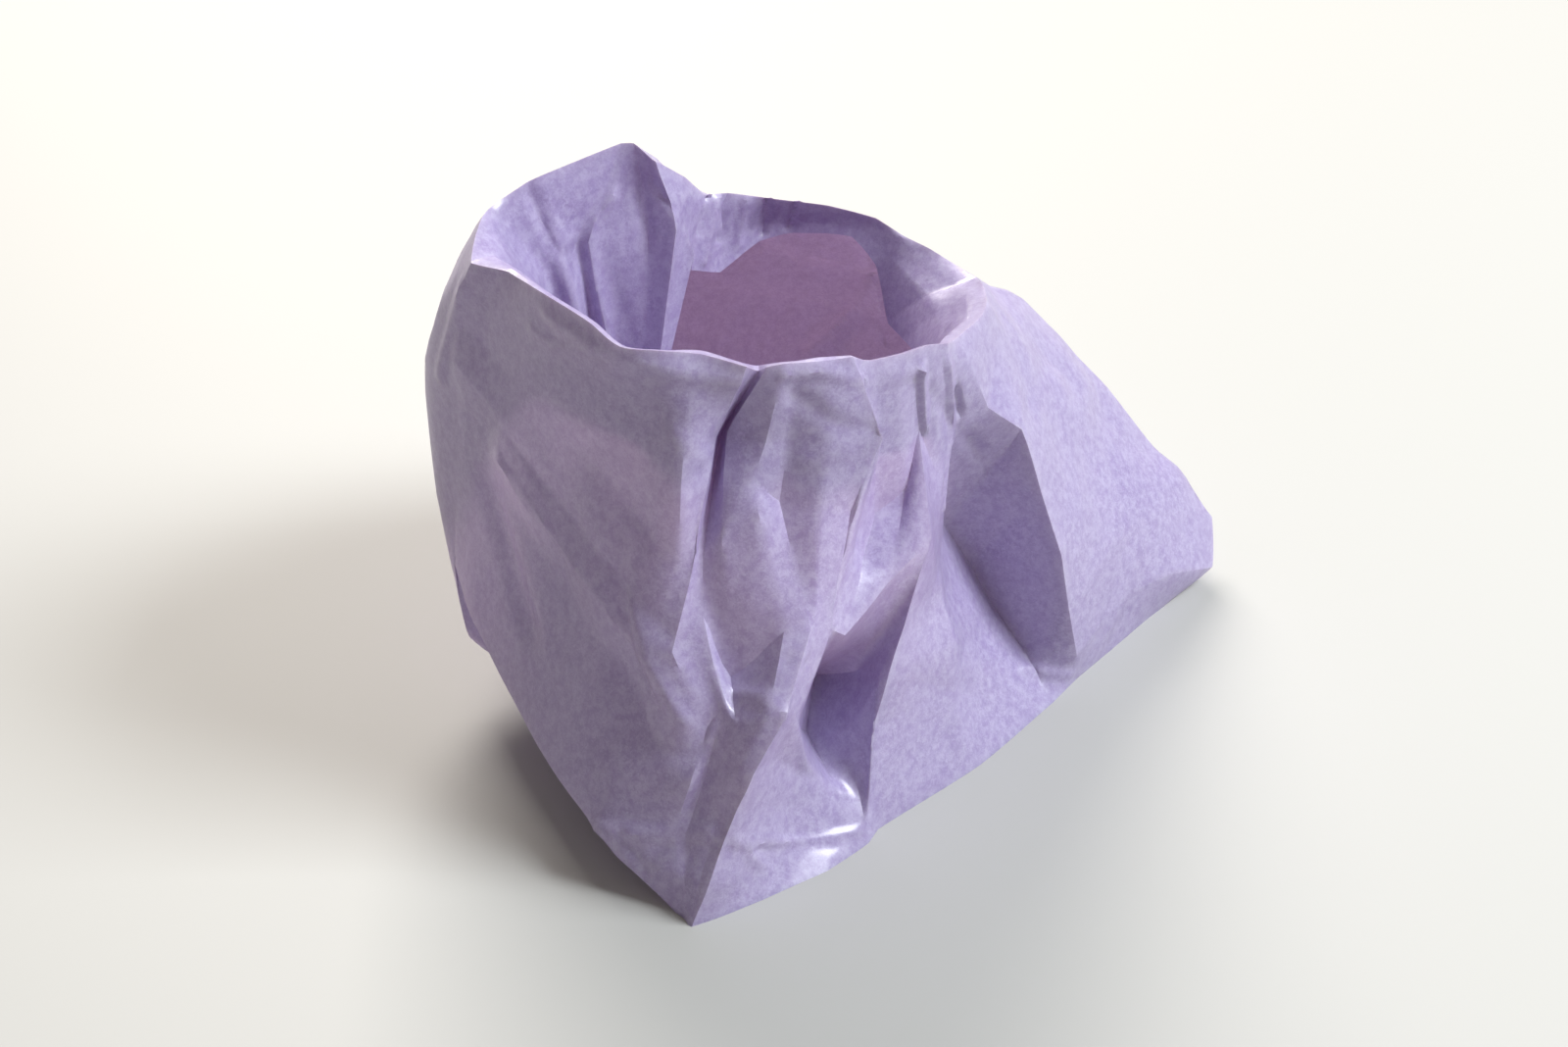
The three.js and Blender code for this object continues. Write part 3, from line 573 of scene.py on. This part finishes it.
def pouch_mesh(settings):
    """The whole sheet, with its thickness, as one closed mesh."""
    net, line_at, level_at = sheet_net(settings.cell)
    net = press_creases(net, line_at, level_at, settings)
    inner = inner_net(net, settings.thickness)
    rows, columns = net.shape[:2]
    wear_and_highlight = crease_wear_and_highlight(net)

    count = rows * columns
    quads = wall_quads(rows, columns)
    faces = list(quads)
    faces += [tuple(reversed([corner + count for corner in quad])) for quad in quads]
    top = (rows - 1) * columns
    for column in range(columns):
        beside = (column + 1) % columns
        faces.append((top + column, top + column + count, top + beside + count, top + beside))
    vertices = [tuple(p) for p in net.reshape(-1, 3)] + [tuple(p) for p in inner.reshape(-1, 3)]
    wear_and_highlight_values = list(wear_and_highlight.reshape(-1)) * 2

    for skin, loop, height in ((0, net[0], 0.0), (count, inner[0], settings.thickness)):
        points, triangles = floor_mesh(loop)
        number = {}
        for i, point in enumerate(points):
            if i < columns:
                number[i] = skin + i
            else:
                number[i] = len(vertices)
                vertices.append((point.x, point.y, height))
                wear_and_highlight_values.append(0.0)
        for triangle in triangles:
            a, b, c = (points[i] for i in triangle)
            turned = (b - a).cross(c - a) > 0
            upward = skin > 0
            order = triangle if turned == upward else list(reversed(triangle))
            faces.append(tuple(number[i] for i in order))

    mesh = bpy.data.meshes.new("tissue")
    mesh.from_pydata(vertices, [], faces)
    mesh.validate()
    # how sharply the sheet bends, which the paper's colour turns into paler rubbed wear and a painted
    # highlight along the folds
    layer = mesh.attributes.new("crease", "FLOAT", "POINT")
    layer.data.foreach_set("value", np.array(wear_and_highlight_values, dtype=np.float32))
    return mesh


# ---- Finishes ----

# How much the fibres count in the mottling beside the clouds, the range of their sum that is
# used, and the dye's darkest and palest tones as shares of the paper's colour.
FIBRE_SHARE = 1.1
MOTTLE_RANGE = (0.82, 1.28)
DARK_DYE = (0.80, 0.73, 0.85)
PALE_DYE = (1.16, 1.18, 1.10)
# How far sharp creases are painted paler, and the pale colour: partly rubbed wear, partly a painted
# highlight along the fold edges.
WEAR_AND_HIGHLIGHT_STRENGTH = 0.18
WORN_AND_HIGHLIT_COLOUR = (0.78, 0.74, 0.88, 1)
ROUGHNESS_RANGE = (0.30, 0.46)
FIBRE_RELIEF = 0.25
COAT_WEIGHT = 0.6
COAT_ROUGHNESS = 0.23
# The share of light that passes through the sheet, and its colour.
LIGHT_THROUGH = 0.31
GLOW_COLOUR = (0.95, 0.76, 0.89, 1)
TABLE_COLOUR = (0.48, 0.475, 0.465, 1)
TABLE_ROUGHNESS = 0.6


def add_node(tree, kind, place, **values):
    """A shader node with its properties and unlinked inputs set."""
    node = tree.nodes.new(kind)
    node.location = place
    for name, value in values.items():
        if name in node.inputs:
            node.inputs[name].default_value = value
        else:
            setattr(node, name, value)
    return node


def paper_material(settings):
    """Coated lilac tissue: fine fibres, creases painted paler as rubbed wear and a painted highlight, and
    a satin gloss.
    """
    material = bpy.data.materials.new("lilac_tissue")
    material.use_nodes = True
    tree = material.node_tree
    tree.nodes.clear()
    link = tree.links.new
    where = add_node(tree, "ShaderNodeTexCoord", (-1400, 0))
    cloud = add_node(tree, "ShaderNodeTexNoise", (-1100, 300), Scale=900.0, Detail=5.0)
    fibre = add_node(tree, "ShaderNodeTexNoise", (-1100, 0), Scale=2500.0, Detail=3.0, Distortion=1.2)
    crinkle = add_node(tree, "ShaderNodeTexNoise", (-1100, -300), Scale=420.0, Detail=5.0)
    for texture in (cloud, fibre, crinkle):
        link(where.outputs["Object"], texture.inputs["Vector"])

    # the dye lies unevenly on the fibres
    mottle = add_node(tree, "ShaderNodeMath", (-900, 150), operation="MULTIPLY_ADD")
    link(fibre.outputs["Fac"], mottle.inputs[0])
    mottle.inputs[1].default_value = FIBRE_SHARE
    link(cloud.outputs["Fac"], mottle.inputs[2])
    spread = add_node(tree, "ShaderNodeMapRange", (-700, 150))
    spread.inputs["From Min"].default_value = MOTTLE_RANGE[0]
    spread.inputs["From Max"].default_value = MOTTLE_RANGE[1]
    link(mottle.outputs[0], spread.inputs["Value"])
    dark = [part * share for part, share in zip(settings.colour, DARK_DYE)] + [1]
    pale = [part * share for part, share in zip(settings.colour, PALE_DYE)] + [1]
    dye = add_node(tree, "ShaderNodeMix", (-500, 200), data_type="RGBA")
    dye.inputs["A"].default_value = dark
    dye.inputs["B"].default_value = pale
    link(spread.outputs["Result"], dye.inputs["Factor"])

    # pressed creases are painted a little paler: partly rubbed wear, partly a painted highlight along the
    # fold
    crease = add_node(tree, "ShaderNodeAttribute", (-900, -100), attribute_name="crease")
    wear_and_highlight_amount = add_node(tree, "ShaderNodeMath", (-500, -50), operation="MULTIPLY")
    link(crease.outputs["Fac"], wear_and_highlight_amount.inputs[0])
    wear_and_highlight_amount.inputs[1].default_value = WEAR_AND_HIGHLIGHT_STRENGTH
    worn_and_highlit = add_node(tree, "ShaderNodeMix", (-250, 150), data_type="RGBA")
    worn_and_highlit.inputs["B"].default_value = WORN_AND_HIGHLIT_COLOUR
    link(wear_and_highlight_amount.outputs[0], worn_and_highlit.inputs["Factor"])
    link(dye.outputs["Result"], worn_and_highlit.inputs["A"])

    # the sheet's own gloss varies with the dye
    gloss = add_node(tree, "ShaderNodeMapRange", (-500, -250))
    gloss.inputs["To Min"].default_value = ROUGHNESS_RANGE[0]
    gloss.inputs["To Max"].default_value = ROUGHNESS_RANGE[1]
    link(cloud.outputs["Fac"], gloss.inputs["Value"])

    # fibres and crinkles too small for the mesh
    fine = add_node(tree, "ShaderNodeMath", (-700, -450), operation="MULTIPLY_ADD")
    link(fibre.outputs["Fac"], fine.inputs[0])
    fine.inputs[1].default_value = FIBRE_RELIEF
    link(crinkle.outputs["Fac"], fine.inputs[2])
    bump = add_node(tree, "ShaderNodeBump", (-250, -450), Strength=0.25, Distance=0.0002)
    link(fine.outputs[0], bump.inputs["Height"])

    paper = add_node(tree, "ShaderNodeBsdfPrincipled", (0, 0), IOR=1.5)
    paper.inputs["Coat Weight"].default_value = COAT_WEIGHT
    paper.inputs["Coat Roughness"].default_value = COAT_ROUGHNESS
    link(worn_and_highlit.outputs["Result"], paper.inputs["Base Color"])
    link(gloss.outputs["Result"], paper.inputs["Roughness"])
    link(bump.outputs["Normal"], paper.inputs["Normal"])
    glow = add_node(tree, "ShaderNodeBsdfTranslucent", (0, -350), Color=GLOW_COLOUR)
    link(bump.outputs["Normal"], glow.inputs["Normal"])
    through = add_node(tree, "ShaderNodeMixShader", (300, 0))
    through.inputs[0].default_value = LIGHT_THROUGH
    link(paper.outputs[0], through.inputs[1])
    link(glow.outputs[0], through.inputs[2])
    output = add_node(tree, "ShaderNodeOutputMaterial", (500, 0))
    link(through.outputs[0], output.inputs["Surface"])
    return material


def table_material():
    """The plain pale table top."""
    material = bpy.data.materials.new("pale_table")
    material.use_nodes = True
    shader = material.node_tree.nodes["Principled BSDF"]
    shader.inputs["Base Color"].default_value = TABLE_COLOUR
    shader.inputs["Roughness"].default_value = TABLE_ROUGHNESS
    return material


# ---- Operators ----

# The stage in metres: the table's width and the point that the camera looks at.
TABLE_SIZE = 6
AIM = (0, 0, 0.025)
LENS = 61.875
SENSOR_WIDTH = 36
# Each light's place and width in metres, and its colour.
KEY_LIGHT = ((0.56, -0.06, 0.60), 0.30, (0.92, 0.98, 1.0))
BACK_LIGHT = ((-0.16, 0.66, 0.55), 0.4, (1.0, 0.95, 0.88))
ROOM_COLOUR = (1.0, 0.93, 0.84, 1)
ROOM_STRENGTH = 0.26


class TISSUE_OT_pouch(bpy.types.Operator):
    """Fold the tissue pouch from its fold lines and give it its creases"""

    bl_idname = "tissue.fold_pouch"
    bl_label = "Fold Pouch"

    def execute(self, context):
        bpy.ops.object.select_all(action="DESELECT")
        settings = context.scene.pouch_settings
        mesh = pouch_mesh(settings)
        pouch = bpy.data.objects.new("crumpled_tissue", mesh)
        context.collection.objects.link(pouch)
        context.view_layer.objects.active = pouch
        pouch.select_set(True)
        bpy.ops.object.shade_smooth_by_angle(angle=HARD_EDGE)
        pouch.select_set(False)
        pouch.data.materials.append(paper_material(settings))
        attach(pouch, "root")
        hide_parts(NODE)
        return {"FINISHED"}


class TISSUE_OT_stage(bpy.types.Operator):
    """Lay the table, and set up the camera and the soft lights"""

    bl_idname = "tissue.set_stage"
    bl_label = "Set Stage"

    def execute(self, context):
        bpy.ops.object.select_all(action="DESELECT")
        settings = context.scene.stage_settings
        bpy.ops.mesh.primitive_plane_add(size=TABLE_SIZE, location=(0, 0, 0))
        table = context.active_object
        table.name = "table"
        table.data.materials.append(table_material())

        away = Vector((0, -math.cos(settings.camera_height), math.sin(settings.camera_height)))
        camera_data = bpy.data.cameras.new("camera")
        camera_data.lens = LENS
        camera_data.sensor_width = SENSOR_WIDTH
        camera = bpy.data.objects.new("camera", camera_data)
        camera.location = Vector(AIM) + away * settings.camera_distance
        camera.rotation_euler = (-away).to_track_quat("-Z", "Y").to_euler()
        context.collection.objects.link(camera)
        context.scene.camera = camera

        self.light(context, "key", settings.key_power, *KEY_LIGHT)
        self.light(context, "back", settings.back_power, *BACK_LIGHT)

        context.scene.view_settings.view_transform = "Standard"
        world = bpy.data.worlds.new("room")
        world.use_nodes = True
        world.node_tree.nodes["Background"].inputs["Color"].default_value = ROOM_COLOUR
        world.node_tree.nodes["Background"].inputs["Strength"].default_value = ROOM_STRENGTH
        context.scene.world = world
        return {"FINISHED"}

    def light(self, context, name, power, place, size, colour):
        """One square soft light that points at the pouch."""
        data = bpy.data.lights.new(name, "AREA")
        data.size = size
        data.energy = power
        data.color = colour
        lamp = bpy.data.objects.new(name, data)
        lamp.location = place
        lamp.rotation_euler = (-Vector(place)).to_track_quat("-Z", "Y").to_euler()
        context.collection.objects.link(lamp)


class TISSUE_PT_panel(bpy.types.Panel):
    """Sidebar panel with the pouch and its stage"""

    bl_idname = "TISSUE_PT_panel"
    bl_label = "Tissue Pouch"
    bl_space_type = "VIEW_3D"
    bl_region_type = "UI"
    bl_category = "Tissue"

    def draw(self, context):
        column = self.layout.column()
        for name in PouchSettings.__annotations__:
            column.prop(context.scene.pouch_settings, name)
        column.operator("tissue.fold_pouch")
        for name in StageSettings.__annotations__:
            column.prop(context.scene.stage_settings, name)
        column.operator("tissue.set_stage")


CLASSES = (PouchSettings, StageSettings, TISSUE_OT_pouch, TISSUE_OT_stage, TISSUE_PT_panel)


def register():
    for entry in CLASSES:
        bpy.utils.register_class(entry)
    bpy.types.Scene.pouch_settings = PointerProperty(type=PouchSettings)
    bpy.types.Scene.stage_settings = PointerProperty(type=StageSettings)


def unregister():
    del bpy.types.Scene.stage_settings
    del bpy.types.Scene.pouch_settings
    for entry in reversed(CLASSES):
        bpy.utils.unregister_class(entry)


def main():
    register()
    bpy.ops.tissue.fold_pouch()
    bpy.ops.tissue.set_stage()


if __name__ == "__main__":
    main()
